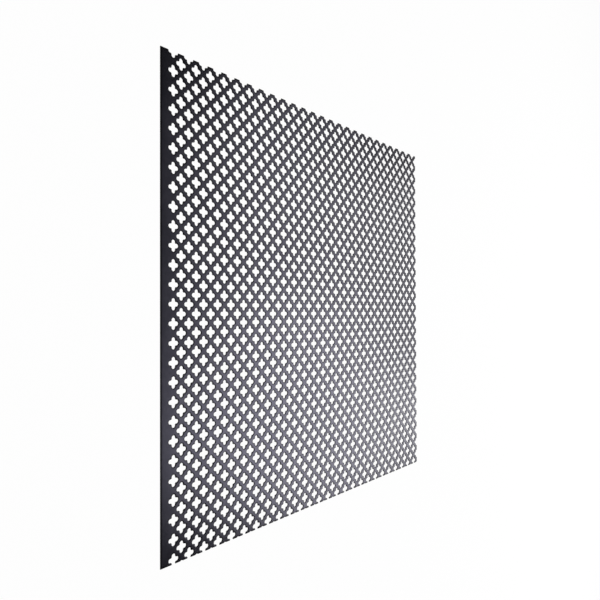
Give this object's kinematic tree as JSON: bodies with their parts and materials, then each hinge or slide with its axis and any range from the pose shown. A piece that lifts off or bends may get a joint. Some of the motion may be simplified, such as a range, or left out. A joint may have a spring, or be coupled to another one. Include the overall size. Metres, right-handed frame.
{
  "type": "perforated metal sheet",
  "caption": "Thin flat square sheet punched all over with staggered clover-shaped holes, with one plain border and three edges sheared through the holes.",
  "frame": {"origin": "middle of the sheet's underside", "axes": "+Z out of the face that shows, +X from the plain border towards the opposite sheared edge, +Y along the plain border"},
  "size_m": [0.3048, 0.3036, 0.0005],
  "materials": {
    "black_finish": "black satin finish on both faces and in the holes"
  },
  "bodies": {
    "root": {"perforated_sheet": "black_finish"}
  },
  "joints": []
}
